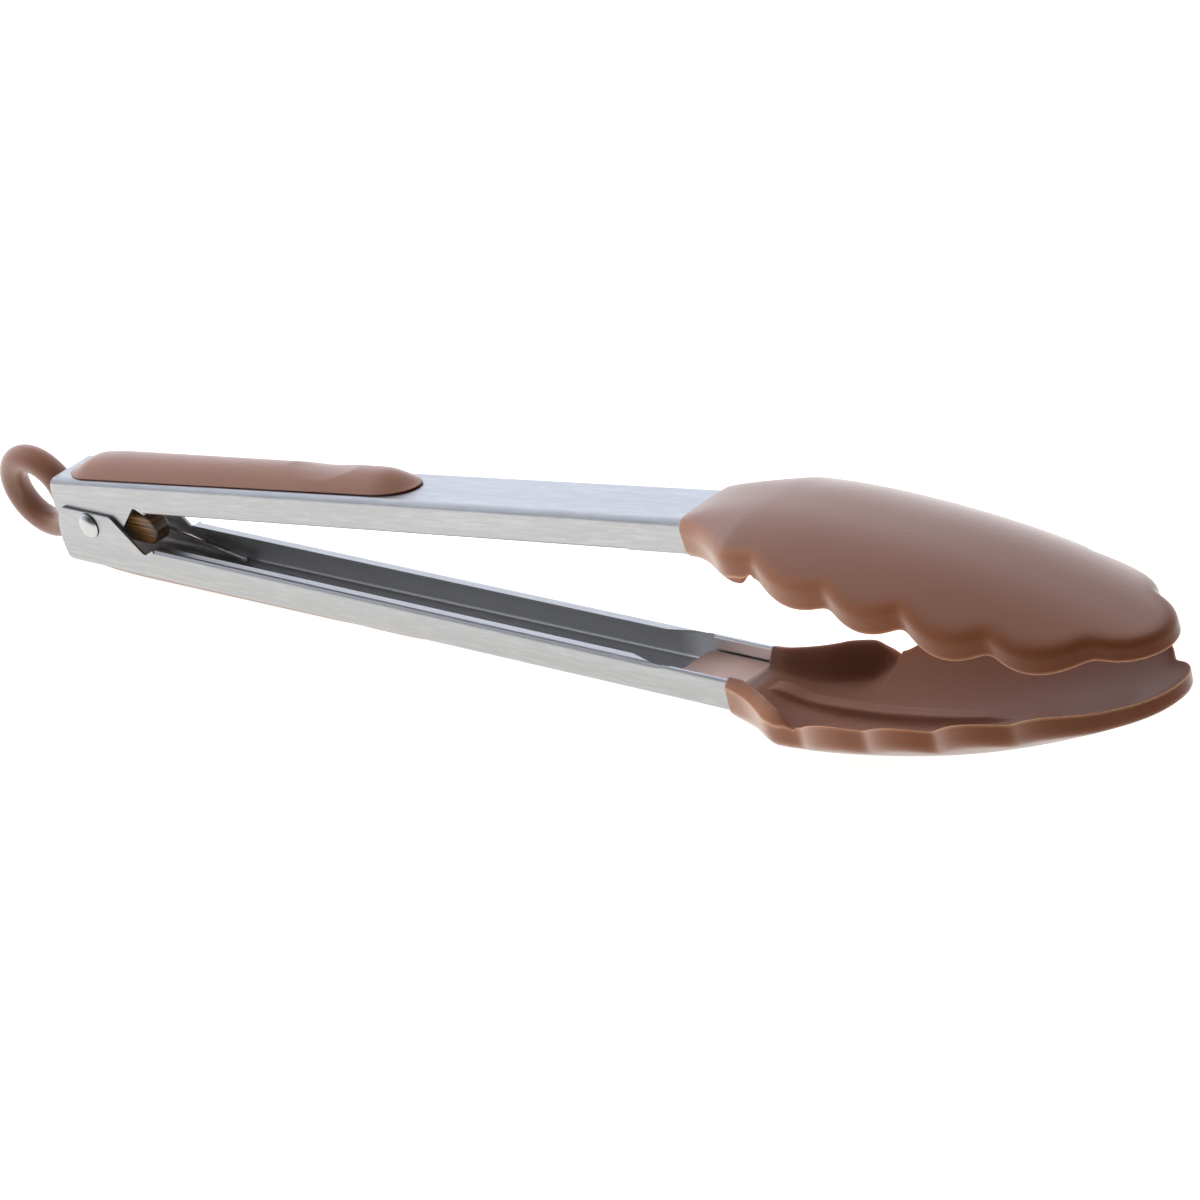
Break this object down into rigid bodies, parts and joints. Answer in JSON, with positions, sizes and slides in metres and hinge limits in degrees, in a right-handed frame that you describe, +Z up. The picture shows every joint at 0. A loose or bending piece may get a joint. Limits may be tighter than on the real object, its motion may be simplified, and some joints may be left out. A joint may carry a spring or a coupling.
{
  "type": "spring loaded kitchen tongs",
  "caption": "Spring loaded kitchen tongs: folded steel arms hinged at one end, silicone grip pads, scalloped silicone scoop heads and a pull ring on a lock slide.",
  "frame": {"origin": "mid-length of the whole tongs, on the table, on the mid-plane between the cheeks", "axes": "+X along the lower arm from the hinge to the tip, Y along the hinge rivet, +Z up"},
  "size_m": [0.3268, 0.04, 0.0501],
  "materials": {
    "steel": "brushed along the arm",
    "rivet_steel": "satin",
    "spring_steel": "bright drawn wire",
    "silicone": "matte mocha brown",
    "slide_nylon": "satin brown",
    "nylon": "matte black"
  },
  "bodies": {
    "lower": {"lower_arm": "steel", "lower_head": "silicone", "lower_head_core": "nylon", "lower_grip": "silicone", "hinge_rivet": "rivet_steel", "hinge_spacer": "nylon", "torsion_spring": "spring_steel"},
    "upper": {"upper_arm": "steel", "upper_head": "silicone", "upper_head_core": "nylon", "upper_grip": "silicone"},
    "lock": {"lock_slider": "slide_nylon", "pull_ring": "silicone"}
  },
  "joints": [
    {"name": "arm_hinge", "type": "hinge", "parent": "lower", "child": "upper", "pos_m": [-0.12955, 0, 0.01375], "axis": [0, -1, 0], "range_deg": [-0.8, 14], "stiffness_Nm_per_rad": 0.6, "springref_deg": 6.82, "deforming": ["torsion_spring"]},
    {"name": "lock_slide", "type": "slide", "parent": "lower", "child": "lock", "axis": [-1, 0, 0], "range_m": [0, 0.003]}
  ]
}
